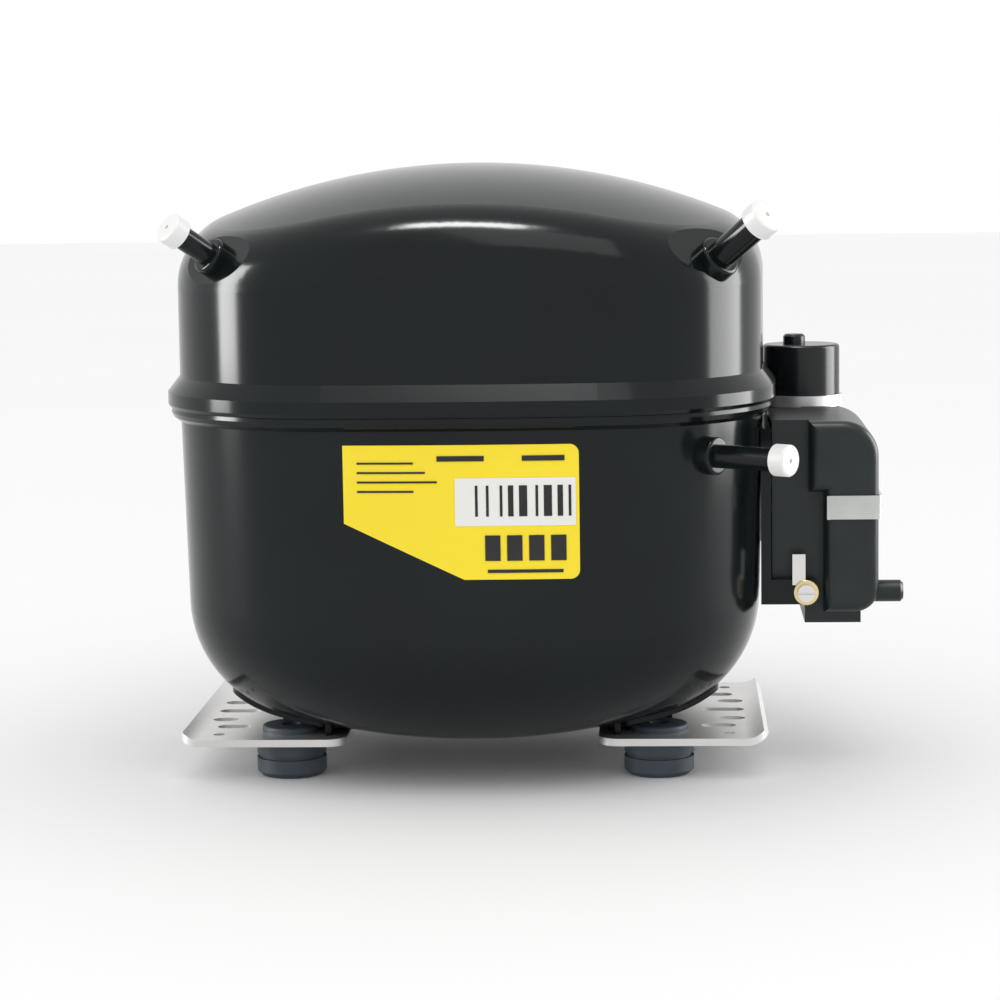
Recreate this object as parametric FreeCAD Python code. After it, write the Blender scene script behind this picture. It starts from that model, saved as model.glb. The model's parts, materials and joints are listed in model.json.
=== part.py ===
import FreeCAD, Part
import math
import os

# Hermetic reciprocating compressor: a welded two-piece shell on two base plates with rubber
# grommets, a spring-hung motor and slide-block pump inside, and a terminal cover with the
# starting gear on the +X side. Millimetres, +Z up. The origin is on the ground, at the
# centre of the four grommet holes; the front of the shell faces -Y.

os.makedirs("parts", exist_ok=True)
V = FreeCAD.Vector

# ------------------------------------------------------------------ driving dimensions
# Shell envelope
TOTAL_HEIGHT = 209.0          # ground to the top of the dome
HALF_WIDTH = 100.5            # shell wall at mid depth, X
HALF_DEPTH = 90.5             # shell wall at mid width, Y
SIDE_BULGE_R = 420.0          # plan radius of the left and right walls
FRONT_BULGE_R = 520.0         # plan radius of the front and back walls
CORNER_R = 60.0               # plan corner radius
CROWN_R = 228.0               # spherical top
SHOULDER_R = 22.0             # rounding between crown and wall
BOWL_R = 245.0                # spherical bottom
BOWL_EDGE_R = 42.0            # rounding between bowl and wall
BOWL_Z = 9.5                  # lowest point of the bowl
BOWL_TAPER = 3.0              # how far the lower wall draws in towards the bowl
WALL = 3.0                    # shell sheet
SEAM_Z = 128.0                # underside of the cover's rim
RIM_HEIGHT = 6.5
RIM_OUT = 4.2                 # how far the rim stands out from the wall
RIM_BLEND = 4.0               # sloped shoulder above the rim
LAP = 3.5                     # how far the lower shell reaches up inside the rim
BEAD_HEIGHT = 4.5             # weld bead under the rim
SHEET_GAP = 0.05              # gap left between fitted sheet parts

# Base plates and grommets
HOLE_SPACING_X = 127.0
HOLE_SPACING_Y = 70.0
PLATE_T = 2.5
PLATE_Z = 12.5                # underside of the plates
PLATE_INNER_X = 43.0
PLATE_BEND_X = 93.0           # where the outer edge starts to curl up
PLATE_CURL_R = 9.0
PLATE_CURL_ANGLE = 42.0
PLATE_HALF_Y = 53.0
PLATE_CORNER_R = 7.0
CORNER_HOLE_X = 87.5
CORNER_HOLE_Y = 43.0
CORNER_HOLE_R = 2.0
SLOT_R = 3.0
SLOTS = ((84.0, 29.0, 12.0), (89.0, 16.0, 9.0), (86.0, 0.0, 15.0))   # x, y, length
SADDLE_INNER_X = 46.0
SADDLE_OUTER_X = 68.0
SADDLE_HALF_Y = 47.0
SADDLE_TOP_Z = 46.0
SADDLE_T = 2.0
SADDLE_RECESS_R = 13.0        # the skirt steps back round each grommet
SADDLE_PAD_T = 1.6            # thickness of the pad that lies against the bowl
SADDLE_PAD_X = 84.0
SADDLE_PAD_HALF_Y = 40.0
SADDLE_PAD_TOP_Z = 40.0
GROMMET_R = 12.0
GROMMET_NECK_R = 8.0
GROMMET_CAP_R = 10.0
GROMMET_CAP_T = 2.2
GROMMET_BORE_R = 3.3
GROMMET_CHAMFER = 1.6
GROMMET_GROOVE = 1.0

# Connectors: outer radius, bore radius, length outside the shell
SUCTION_TUBE = (4.8, 4.1, 24.5)
PROCESS_TUBE = (3.9, 3.1, 19.0)
DISCHARGE_TUBE = (3.9, 3.1, 29.5)
SUCTION_ELEVATION = 35.0
PROCESS_ELEVATION = 32.0
CONNECTOR_AZIMUTH = 40.0      # from the X axis towards the front
SUCTION_DROP = 4.0            # how far the tube sits below the middle of its facet
DISCHARGE_AZIMUTH = 36.0
DISCHARGE_BASE_AZIMUTH = 46.0
DISCHARGE_Z = 113.0
FACET_DEPTH = 2.0             # flat pressed into each upper front corner
TUBE_INSIDE = 8.0             # tube length inside the shell
COLLAR_WALL = 2.4
COLLAR_LENGTH = 4.0
TUBE_HOLE_GAP = 0.05
CAP_OVERLAP = 3.0             # how far a dust cap reaches along the tube
CAP_END = 2.2                 # its end wall
CAP_WALL = 1.3
CAP_GAP = 0.05
CAP_END_GAP = 0.4

# Label plate on the front of the lower shell
LABEL_LEFT = -38.0
LABEL_RIGHT = 38.5
LABEL_TOP_Z = 119.0
LABEL_BOTTOM_Z = 75.0
LABEL_CUT_X = 1.0             # where the slanted lower edge meets the bottom edge
LABEL_CUT_Z = 93.5            # where it meets the left edge
LABEL_CORNER_R = 3.0
LABEL_T = 0.35


# Terminal cover, starting gear and start capacitor on the right wall
BOX_Y = -12.0                 # centre of the electrical box along Y
BOX_HALF_Y = 30.0
BOX_OUT = 37.7                # how far the cover stands out from the wall
BOX_STEP = 19.3               # depth of the narrower inboard part
BOX_STEP_IN = 8.0             # how much narrower the inboard part is at the front
BOX_Z = (56.0, 121.0)
BOX_INBOARD_Z = (60.0, 121.0)
BOX_UPPER_STEP = 14.3         # the outboard part is deeper above this height
BOX_UPPER_Z = 97.0
BOX_WALL = 1.8
BOX_CORNER_R = 12.0
BOX_EDGE_R = 3.2
BULGE_Z = 51.5                # relay bulge under the cover
BULGE_X = (13.0, 32.0)        # measured from the wall
BRACKET_T = 1.5
BRACKET_Z = (58.5, 118.5)
BRACKET_HALF_Y = 27.0
EAR_OUT = 17.5                # earthing ear, measured from the wall
EAR_HEIGHT = 8.5
EARTH_OUT = 13.2              # earthing screw, measured from the wall
CLIP_WIDTH = 8.0
CLIP_Z = 92.0
CLIP_T = 1.0
CLIP_REACH = 16.5             # how far the clip's arms reach back from the cover's face
CORD_R = 3.7
CORD_BORE_R = 2.6
CORD_LENGTH = 8.5
CORD_FLANGE = 0.9             # step that holds the relief inside the cover
CORD_Z = 62.5
CORD_DY = -23.0               # from the box centre
CAPACITOR_R = 14.0
CAPACITOR_LENGTH = 73.0
CAPACITOR_TOP_Z = 141.3
CAPACITOR_Y = 50.0
CAPACITOR_GAP = 1.5           # from the rim of the cover
CAPACITOR_STUD_R = 4.0
CAPACITOR_STUD = 3.6
CAPACITOR_STUD_DX = -2.5
STRAP_Z = 119.0
STRAP_HEIGHT = 4.0
STRAP_T = 1.2
PIN_R = 1.6
PIN_PITCH = 9.5
PIN_OUT = 11.0
TERMINAL_R = 15.0
TERMINAL_Z = 92.0
CLEARANCE = 0.3               # between pieces that come apart
EARTH_SCREW_R = 2.0
RELAY_TAB = 3.0               # the relay's spade stands this far towards the cover
CUP_INSIDE = 4.8              # from the wall's inside to the plug on the pins
LEAD_PLUG_T = 9.0
EARTH_SHEET = 0.8

# Motor
STATOR_HALF = 59.0
STATOR_Z = (50.0, 98.0)
STATOR_BORE_R = 30.5
AIR_GAP = 0.4
WINDING_R = (35.0, 51.0)
WINDING_LOW = 18.0
WINDING_HIGH = 17.0
SLOT_COUNT = 24
STATOR_BOLT_XY = 48.0
STATOR_BOLT_R = 3.0
SPRING_R = 9.0                # mean coil radius
SPRING_WIRE_R = 1.1
SPRING_TURNS = 4
SPRING_BOTTOM_Z = 29.0
SPRING_TOP_Z = 46.0
PEG_R = 6.5
SHAFT_R = 9.5
RUNNING_GAP = 0.03
CAGE_RING = 6.0

# Slide-block pump
THROW = 10.5
BORE_R = 14.0
AXIS_Z = 160.0                # cylinder axis
PIN_CRANK_R = 6.0
BLOCK_R = 10.0
BLOCK_HALF = 10.0
YOKE_WALL = 3.2
YOKE_HALF = 22.5
WEB_Z = (136.0, 145.0)
WEIGHT_R = 28.0
PISTON_LENGTH = 40.0
HEAD_CLEARANCE = 0.25
FRAME_Z = (120.0, 133.0)
FRAME_HALF = 54.0
CYLINDER_WALL = 7.0
CYLINDER_START_X = -30.0
VALVE_PLATE_T = 3.6
REED_T = 0.4
HEAD_HALF = 23.0
HEAD_T = 15.0
HEAD_BOLT_XY = 18.5
HEAD_BOLT_R = 2.5
GASKET_T = 0.4
PLUG_R = 2.6
MUFFLER_R = 14.0
MUFFLER_HEIGHT = 24.0
MUFFLER_X = 6.0
MUFFLER_Y = 44.0
LOOP_R = 2.4                  # discharge tube inside the shell
LEAD_R = 1.2


# ------------------------------------------------------------------ helpers
def cylinder(radius, z0, z1, x=0.0, y=0.0):
    return Part.makeCylinder(radius, z1 - z0, V(x, y, z0))


def rod(radius, start, direction, length):
    return Part.makeCylinder(radius, length, start, direction)


def block(x0, x1, y0, y1, z0, z1):
    return Part.makeBox(x1 - x0, y1 - y0, z1 - z0, V(x0, y0, z0))


def fuse(shapes):
    first = shapes[0]
    return first.fuse(shapes[1:]).removeSplitter() if len(shapes) > 1 else first


def cut(shape, tools):
    return shape.cut(tools) if tools else shape


def mirror_x(shape):
    return shape.mirror(V(0, 0, 0), V(1, 0, 0))


def half_turn(shape):
    """The shape turned by half a turn about the vertical axis."""
    turned = shape.copy()
    turned.rotate(V(0, 0, 0), V(0, 0, 1), 180)
    return turned


def round_edges(shape, radius, wanted):
    return shape.makeFillet(radius, [e for e in shape.Edges if wanted(e)])


def is_vertical(edge):
    box = edge.BoundBox
    return box.ZLength > 0.5 and box.XLength < 1e-6 and box.YLength < 1e-6


def save(node, *shapes):
    solids = [s for shape in shapes for s in shape.Solids]
    result = solids[0] if len(solids) == 1 else Part.makeCompound(solids)
    for solid in solids:
        if not solid.isValid():
            print("invalid solid in", node)
    result.exportStep(f"parts/{node}.step")


# ------------------------------------------------------------------ shell envelope
def corner_centre():
    """Centre of the corner arc that is tangent to the back arc and the right arc."""
    back = V(0, HALF_DEPTH - FRONT_BULGE_R, 0)
    side = V(HALF_WIDTH - SIDE_BULGE_R, 0, 0)
    r_back = FRONT_BULGE_R - CORNER_R
    r_side = SIDE_BULGE_R - CORNER_R
    across = side - back
    d = across.Length
    along = (r_back ** 2 - r_side ** 2 + d ** 2) / (2 * d)
    height = math.sqrt(r_back ** 2 - along ** 2)
    unit = across / d
    normal = V(-unit.y, unit.x, 0)
    both = [back + unit * along + normal * s * height for s in (1, -1)]
    return max(both, key=lambda p: p.x + p.y), back, side


CORNER, BACK_CENTRE, SIDE_CENTRE = corner_centre()


def plan_wire(grow, z):
    """Closed plan outline: four bulged sides and four corner arcs, all tangent."""
    to_back = (CORNER - BACK_CENTRE).normalize()
    to_side = (CORNER - SIDE_CENTRE).normalize()
    t_back = BACK_CENTRE + to_back * (FRONT_BULGE_R + grow)
    t_side = SIDE_CENTRE + to_side * (SIDE_BULGE_R + grow)
    middle = CORNER + (to_back + to_side).normalize() * (CORNER_R + grow)
    right = V(HALF_WIDTH + grow, 0, 0)
    rear = V(0, HALF_DEPTH + grow, 0)

    def at(p, sx, sy):
        return V(p.x * sx, p.y * sy, z)

    arcs = [
        (at(t_side, 1, -1), at(right, 1, 1), at(t_side, 1, 1)),
        (at(t_side, 1, 1), at(middle, 1, 1), at(t_back, 1, 1)),
        (at(t_back, 1, 1), at(rear, 1, 1), at(t_back, -1, 1)),
        (at(t_back, -1, 1), at(middle, -1, 1), at(t_side, -1, 1)),
        (at(t_side, -1, 1), at(right, -1, 1), at(t_side, -1, -1)),
        (at(t_side, -1, -1), at(middle, -1, -1), at(t_back, -1, -1)),
        (at(t_back, -1, -1), at(rear, 1, -1), at(t_back, 1, -1)),
        (at(t_back, 1, -1), at(middle, 1, -1), at(t_side, 1, -1)),
    ]
    return Part.Wire([Part.Arc(*a).toShape() for a in arcs])


def plan_prism(grow, z0, z1):
    return Part.Face(plan_wire(grow, z0)).extrude(V(0, 0, z1 - z0))


def plan_loft(sections):
    """Ruled solid through plan outlines given as (grow, z) pairs."""
    return Part.makeLoft([plan_wire(g, z) for g, z in sections], True, True)


def direction(azimuth, elevation, side):
    """Unit vector, azimuth from the X axis towards the front, on the given side (+1 or -1)."""
    a, e = math.radians(azimuth), math.radians(elevation)
    return V(side * math.cos(e) * math.cos(a), -math.cos(e) * math.sin(a), math.sin(e))


def shoulder_point(azimuth, elevation, side):
    """Point of the dome's shoulder whose outward normal has this direction."""
    a = math.radians(azimuth)
    x = CORNER.x + (CORNER_R - SHOULDER_R) * math.cos(a)
    y = -CORNER.y - (CORNER_R - SHOULDER_R) * math.sin(a)
    inner = CROWN_R - SHOULDER_R
    z = TOTAL_HEIGHT - CROWN_R + math.sqrt(inner ** 2 - x ** 2 - y ** 2)
    return V(side * x, y, z) + direction(azimuth, elevation, side) * SHOULDER_R


def facets(grow):
    """Tools that press a flat into each upper front corner."""
    tools = []
    for side, elevation in ((1, SUCTION_ELEVATION), (-1, PROCESS_ELEVATION)):
        out = direction(CONNECTOR_AZIMUTH, elevation, side)
        start = shoulder_point(CONNECTOR_AZIMUTH, elevation, side) + out * (grow - FACET_DEPTH)
        tools.append(rod(CORNER_R, start, out, CORNER_R))
    return tools


def dome(grow, z0):
    """Solid bounded by the cover's wall, shoulder and crown, grown by a sheet offset."""
    body = plan_prism(grow, z0, TOTAL_HEIGHT + 10)
    ball = Part.makeSphere(CROWN_R + grow, V(0, 0, TOTAL_HEIGHT - CROWN_R))
    body = body.common(ball)
    low = z0 + 20
    body = round_edges(body, SHOULDER_R + grow,
                       lambda e: e.BoundBox.ZMin > low and not is_vertical(e))
    return cut(body, facets(grow))


def bowl(grow, z1):
    """Solid bounded by the lower wall, its edge rounding and the bowl."""
    body = plan_loft([(grow - BOWL_TAPER, -5.0), (grow, z1)])
    ball = Part.makeSphere(BOWL_R + grow, V(0, 0, BOWL_Z + BOWL_R))
    body = body.common(ball)
    high = z1 - 20
    return round_edges(body, BOWL_EDGE_R + grow,
                       lambda e: e.BoundBox.ZMax < high and e.BoundBox.ZLength < 40)



# ------------------------------------------------------------------ shell pieces
def rim(grow_in):
    """The cover's joggled rim: a band standing out over the lower shell."""
    top = SEAM_Z + RIM_HEIGHT
    band = plan_loft([(RIM_OUT - 0.8, SEAM_Z), (RIM_OUT, SEAM_Z + 1.2)])
    band = band.fuse(plan_loft([(RIM_OUT, SEAM_Z + 1.2), (RIM_OUT, top - 1.2)]))
    band = band.fuse(plan_loft([(RIM_OUT, top - 1.2), (0.1, top + RIM_BLEND)]))
    return band.cut(plan_prism(grow_in, SEAM_Z - 1, top + RIM_BLEND + 1))


def tube_hole(radius, start, out):
    return rod(radius + TUBE_HOLE_GAP, start - out * TUBE_INSIDE, out, 4 * TUBE_INSIDE)


OUTER_DOME = dome(0, SEAM_Z)
OUTER_BOWL = bowl(0, SEAM_Z)
INNER_BOWL = bowl(-WALL, SEAM_Z)
WALL_X = HALF_WIDTH
SUCTION_DIR = direction(CONNECTOR_AZIMUTH, SUCTION_ELEVATION, 1)
SUCTION_BASE = (shoulder_point(CONNECTOR_AZIMUTH, SUCTION_ELEVATION, 1) - SUCTION_DIR * FACET_DEPTH
                + direction(CONNECTOR_AZIMUTH, SUCTION_ELEVATION - 90, 1) * SUCTION_DROP)
PROCESS_DIR = direction(CONNECTOR_AZIMUTH, PROCESS_ELEVATION, -1)
PROCESS_BASE = shoulder_point(CONNECTOR_AZIMUTH, PROCESS_ELEVATION, -1) - PROCESS_DIR * FACET_DEPTH
DISCHARGE_DIR = direction(DISCHARGE_AZIMUTH, 0, 1)
DISCHARGE_BASE = (V(CORNER.x, -CORNER.y, DISCHARGE_Z)
                  + direction(DISCHARGE_BASE_AZIMUTH, 0, 1) * (CORNER_R - 0.6))
TERMINAL_Y = BOX_Y
TERMINAL_CENTRE = V(WALL_X, TERMINAL_Y, TERMINAL_Z)


def upper_shell():
    shell = OUTER_DOME.cut(dome(-WALL, SEAM_Z))
    shell = shell.fuse(rim(-WALL)).removeSplitter()
    shell = shell.cut(plan_prism(SHEET_GAP, SEAM_Z - 1, SEAM_Z + LAP + SHEET_GAP))
    holes = [tube_hole(SUCTION_TUBE[0], SUCTION_BASE, SUCTION_DIR),
             tube_hole(PROCESS_TUBE[0], PROCESS_BASE, PROCESS_DIR)]
    return shell.cut(holes)


def lower_shell():
    shell = OUTER_BOWL.fuse(plan_prism(0, SEAM_Z, SEAM_Z + LAP)).removeSplitter()
    shell = shell.cut([INNER_BOWL, plan_prism(-WALL, SEAM_Z - 0.5, SEAM_Z + LAP + 1)])
    cup_hole = rod(TERMINAL_R + SHEET_GAP, TERMINAL_CENTRE - V(12, 0, 0), V(1, 0, 0), 24)
    return shell.cut([tube_hole(DISCHARGE_TUBE[0], DISCHARGE_BASE, DISCHARGE_DIR), cup_hole])


def weld_bead():
    low = SEAM_Z - BEAD_HEIGHT
    steps = [(0.6, low), (2.4, low + 1.4), (3.2, low + 3.0), (2.8, SEAM_Z - SHEET_GAP)]
    bead = plan_loft(steps)
    return bead.cut(plan_prism(SHEET_GAP, low - 1, SEAM_Z + 1))


def connector(tube, base, out):
    radius, bore, length = tube
    collar = rod(radius + COLLAR_WALL, base - out * 3, out, COLLAR_LENGTH + 3)
    collar = round_edges(collar, 1.0, lambda e: (e.CenterOfMass - base).dot(out) > COLLAR_LENGTH - 1)
    collar = collar.cut([OUTER_DOME, OUTER_BOWL])
    pipe = rod(radius, base - out * TUBE_INSIDE, out, TUBE_INSIDE + length)
    whole = pipe.fuse(max(collar.Solids, key=lambda s: s.Volume)).removeSplitter()
    return whole.cut(rod(bore, base - out * (TUBE_INSIDE + 1), out, TUBE_INSIDE + length + 2))


def dust_cap(tube, base, out):
    radius, bore, length = tube
    tip = base + out * length
    whole = rod(radius + CAP_WALL, tip - out * CAP_OVERLAP, out, CAP_OVERLAP + CAP_END_GAP + CAP_END)
    whole = round_edges(whole, 0.8, lambda e: (e.CenterOfMass - tip).dot(out) > 1)
    socket = rod(radius + CAP_GAP, tip - out * (CAP_OVERLAP + 1), out, CAP_OVERLAP + 1 + CAP_END_GAP)
    dimple = rod(0.8, tip + out * (CAP_END_GAP + CAP_END - 1), out, 2)
    return whole.cut([socket, dimple])


def label_plate():
    slab_points = [(LABEL_LEFT, LABEL_TOP_Z), (LABEL_LEFT, LABEL_CUT_Z),
                   (LABEL_CUT_X, LABEL_BOTTOM_Z), (LABEL_RIGHT, LABEL_BOTTOM_Z),
                   (LABEL_RIGHT, LABEL_TOP_Z)]
    corners = [V(x, 0, z) for x, z in slab_points]
    wire = Part.makePolygon(corners + corners[:1])
    slab = Part.Face(wire).extrude(V(0, -2 * HALF_DEPTH, 0))
    slab = round_edges(slab, LABEL_CORNER_R,
                       lambda e: e.BoundBox.YLength > HALF_DEPTH and e.BoundBox.XMin > LABEL_LEFT + 1
                       and abs(e.BoundBox.XMin - LABEL_CUT_X) > 1)
    skin = bowl(LABEL_T, SEAM_Z).cut(bowl(SHEET_GAP, SEAM_Z))
    return skin.common(slab)


# ------------------------------------------------------------------ base
def base_plate():
    """Right-hand plate: flat strip whose outer edge curls up, with holes and slots."""
    angle = math.radians(PLATE_CURL_ANGLE)
    mid = angle / 2
    cz = PLATE_Z + PLATE_T + PLATE_CURL_R

    def arc_point(radius, a):
        return V(PLATE_BEND_X + radius * math.sin(a), 0, cz - radius * math.cos(a))

    r_in, r_out = PLATE_CURL_R, PLATE_CURL_R + PLATE_T
    low = V(PLATE_INNER_X, 0, PLATE_Z)
    high = V(PLATE_INNER_X, 0, PLATE_Z + PLATE_T)
    edges = [Part.makeLine(high, low),
             Part.makeLine(low, arc_point(r_out, 0)),
             Part.Arc(arc_point(r_out, 0), arc_point(r_out, mid), arc_point(r_out, angle)).toShape(),
             Part.makeLine(arc_point(r_out, angle), arc_point(r_in, angle)),
             Part.Arc(arc_point(r_in, angle), arc_point(r_in, mid), arc_point(r_in, 0)).toShape(),
             Part.makeLine(arc_point(r_in, 0), high)]
    profile = Part.Face(Part.Wire(edges))
    profile.translate(V(0, -PLATE_HALF_Y, 0))
    plate = profile.extrude(V(0, 2 * PLATE_HALF_Y, 0))
    outline = block(PLATE_INNER_X, PLATE_BEND_X + 20, -PLATE_HALF_Y, PLATE_HALF_Y, 0, 40)
    outline = outline.cut(block(arc_point(r_out, angle).x, 200, -99, 99, -1, 41))
    outline = round_edges(outline, PLATE_CORNER_R, is_vertical)
    plate = plate.common(outline)
    top, z0 = PLATE_Z + PLATE_T + 1, PLATE_Z - 1
    tools = []
    for sy in (1, -1):
        tools.append(cylinder(CORNER_HOLE_R, z0, top, CORNER_HOLE_X, sy * CORNER_HOLE_Y))
        tools.append(cylinder(GROMMET_NECK_R, z0, top, HOLE_SPACING_X / 2, sy * HOLE_SPACING_Y / 2))
        for x, y, length in SLOTS:
            if y > 0 or sy > 0:
                tools += slot(x, sy * y, length, z0, top)
    return plate.cut(tools + [bowl(SHEET_GAP, SEAM_Z)])


def slot(x, y, length, z0, z1):
    half = length / 2 - SLOT_R
    return [block(x - half, x + half, y - SLOT_R, y + SLOT_R, z0, z1),
            cylinder(SLOT_R, z0, z1, x - half, y), cylinder(SLOT_R, z0, z1, x + half, y)]


def grommet_recess(radius, z0, z1):
    """Room round each right-hand grommet, open towards the front or back and towards the outside."""
    room = []
    for s in (1, -1):
        x, y = HOLE_SPACING_X / 2, s * HOLE_SPACING_Y / 2
        near, far = sorted((y, s * 99))
        room += [cylinder(radius, z0, z1, x, y), block(x - radius, 99, near, far, z0, z1)]
        near, far = sorted((y - s * radius, s * 99))
        room.append(block(x, 99, near, far, z0, z1))
    return room


def saddle():
    """Pressed skirt and pad that carry the bowl on the right-hand plate."""
    z0 = PLATE_Z + PLATE_T
    t = SADDLE_T
    solid = block(SADDLE_INNER_X, SADDLE_OUTER_X, -SADDLE_HALF_Y, SADDLE_HALF_Y, z0, SADDLE_TOP_Z)
    solid = round_edges(solid, 8.0, is_vertical).cut(grommet_recess(SADDLE_RECESS_R, z0 - 1, SADDLE_TOP_Z + 1))
    hollow = block(SADDLE_INNER_X - 9, SADDLE_OUTER_X - t, -SADDLE_HALF_Y + t, SADDLE_HALF_Y - t,
                   z0 - 1, SADDLE_TOP_Z + 1)
    hollow = round_edges(hollow, 6.0, is_vertical).cut(
        grommet_recess(SADDLE_RECESS_R + t, z0 - 2, SADDLE_TOP_Z + 2))
    pad = block(SADDLE_INNER_X, SADDLE_PAD_X, -SADDLE_PAD_HALF_Y, SADDLE_PAD_HALF_Y, z0, SADDLE_PAD_TOP_Z)
    pad = round_edges(pad, 8.0, is_vertical).common(bowl(SHEET_GAP + SADDLE_PAD_T, SEAM_Z))
    cap_room = [cylinder(GROMMET_CAP_R + CLEARANCE, z0 - 1, z0 + GROMMET_CAP_T + CLEARANCE,
                         HOLE_SPACING_X / 2, s * HOLE_SPACING_Y / 2) for s in (1, -1)]
    skirt = solid.cut(hollow).fuse(pad).cut([bowl(SHEET_GAP, SEAM_Z)] + cap_room).removeSplitter()
    return [s for s in skirt.Solids if s.Volume > 50]


def grommet(x, y):
    body = cylinder(GROMMET_R, 0, PLATE_Z, x, y)
    body = body.makeChamfer(GROMMET_CHAMFER, [e for e in body.Edges if e.BoundBox.ZMax < 1])
    groove = cylinder(GROMMET_R + 1, 6.2, 7.6, x, y).cut(cylinder(GROMMET_R - GROMMET_GROOVE, 6, 8, x, y))
    top = PLATE_Z + PLATE_T
    neck = cylinder(GROMMET_NECK_R - SHEET_GAP, PLATE_Z, top, x, y)
    head = cylinder(GROMMET_CAP_R, top, top + GROMMET_CAP_T, x, y)
    head = head.makeFillet(0.9, [e for e in head.Edges if e.BoundBox.ZMin > top + 1])
    whole = body.cut(groove).fuse([neck, head]).removeSplitter()
    return whole.cut(cylinder(GROMMET_BORE_R, -1, top + 9, x, y))


# ------------------------------------------------------------------ electrical side
def in_box(x0, x1, y0, y1, z0, z1):
    """Block given by distances out from the wall and across from the box centre."""
    return block(WALL_X + x0, WALL_X + x1, BOX_Y + y0, BOX_Y + y1, z0, z1)


def cover_solid(inset):
    """Outer form of the terminal cover, drawn in all round by the inset."""
    i = inset
    y = BOX_HALF_Y - i
    outboard = in_box(BOX_STEP + i, BOX_OUT - i, -y, y, BOX_Z[0] + i, BOX_Z[1] - i)
    corner = BOX_CORNER_R - i
    far = WALL_X + BOX_OUT - i - 0.01
    outboard = round_edges(outboard, corner, lambda e: e.BoundBox.YLength > 10
                           and e.BoundBox.XMin > far and e.BoundBox.ZMin > 100)
    outboard = round_edges(outboard, corner * 0.66, lambda e: e.BoundBox.YLength > 10
                           and e.BoundBox.XMin > far and e.BoundBox.ZMax < 80)
    upper = in_box(BOX_UPPER_STEP + i, BOX_STEP + i + 1, -y, y, BOX_UPPER_Z + i, BOX_Z[1] - i)
    inboard = in_box(0.3, BOX_STEP + i + 1, BOX_STEP_IN - y, y - BOX_STEP_IN / 2,
                     BOX_INBOARD_Z[0] + i, BOX_INBOARD_Z[1] - i)
    bulge = in_box(BULGE_X[0] + i, BULGE_X[1] - i, BOX_STEP_IN - y, y - BOX_STEP_IN,
                   BULGE_Z + i, BOX_Z[0] + 12)
    whole = outboard.fuse([upper, inboard, bulge]).removeSplitter()
    return whole


def terminal_cover():
    cover = cover_solid(0)
    front = BOX_Y - BOX_HALF_Y
    cover = round_edges(cover, BOX_EDGE_R, lambda e: abs(e.BoundBox.YMax - front) < 0.01
                        and abs(e.BoundBox.YMin - front) < 0.01)
    room = in_box(-9, CLEARANCE, -60, 60, 20, 160)
    bracket_room = in_box(-9, BRACKET_T + CLEARANCE + 0.2, -60, 60, 20, 160)
    start = V(WALL_X + BOX_OUT - BOX_WALL - 3, BOX_Y + CORD_DY, CORD_Z)
    relief = rod(CORD_R + SHEET_GAP, start, V(1, 0, 0), 9)
    flange = rod(CORD_R + CORD_FLANGE + SHEET_GAP, start - V(1, 0, 0), V(1, 0, 0), 3.6 + SHEET_GAP)
    cover = cover.cut([cover_solid(BOX_WALL), room, bracket_room, relief, flange])
    return max(cover.Solids, key=lambda s: s.Volume)


def cover_clip():
    """Spring-steel band across the cover's outer face with arms along front and back."""
    g, t = 0.1, CLIP_T
    y = BOX_HALF_Y + g
    x1 = BOX_OUT + g
    x0 = x1 - CLIP_REACH
    z0, z1 = CLIP_Z - CLIP_WIDTH / 2, CLIP_Z + CLIP_WIDTH / 2
    outer = in_box(x0, x1 + t, -y - t, y + t, z0, z1)
    outer = round_edges(outer, 2.2, lambda e: is_vertical(e) and e.BoundBox.XMin > WALL_X + x1)
    inner = in_box(x0 - 1, x1, -y, y, z0 - 1, z1 + 1)
    band = outer.cut(inner)
    lips = [in_box(x0 - 1.2, x0, s * (y + t / 2) - t / 2 - (0.7 if s < 0 else 0),
                   s * (y + t / 2) + t / 2 + (0.7 if s > 0 else 0), z0, z1) for s in (1, -1)]
    return fuse([band] + lips)


def cord_relief():
    start = V(WALL_X + BOX_OUT - BOX_WALL - 3, BOX_Y + CORD_DY, CORD_Z)
    stub = rod(CORD_R, start, V(1, 0, 0), CORD_LENGTH + BOX_WALL + 3)
    tip = start.x + CORD_LENGTH + BOX_WALL + 3
    stub = stub.makeChamfer(1.0, [e for e in stub.Edges if e.BoundBox.XMin > tip - 0.1])
    flange = rod(CORD_R + CORD_FLANGE, start, V(1, 0, 0), 2.6)
    return fuse([stub, flange]).cut(rod(CORD_BORE_R, start - V(1, 0, 0), V(1, 0, 0), 30))


def terminal_bracket():
    """Plate welded to the wall behind the cover, with an ear for the earthing screw."""
    plate = in_box(-6, BRACKET_T, -BRACKET_HALF_Y, BRACKET_HALF_Y, *BRACKET_Z)
    ear = in_box(-6, EAR_OUT, -BRACKET_HALF_Y, -BRACKET_HALF_Y + BRACKET_T,
                 BRACKET_Z[0], BRACKET_Z[0] + EAR_HEIGHT)
    ear = round_edges(ear, 2.5, lambda e: e.BoundBox.YLength > 1 and e.BoundBox.XMin > WALL_X + 9)
    screw_hole = rod(EARTH_SCREW_R, earth_centre() - V(0, 9, 0), V(0, 1, 0), 18)
    window = in_box(-9, 9, -TERMINAL_R - 2, TERMINAL_R + 2, TERMINAL_Z - TERMINAL_R - 2,
                    TERMINAL_Z + TERMINAL_R + 2)
    outline = plan_prism(SHEET_GAP, 20, BRACKET_Z[1] + 9)
    return max(fuse([plate, ear]).cut([outline, window, screw_hole]).Solids, key=lambda s: s.Volume)


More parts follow.
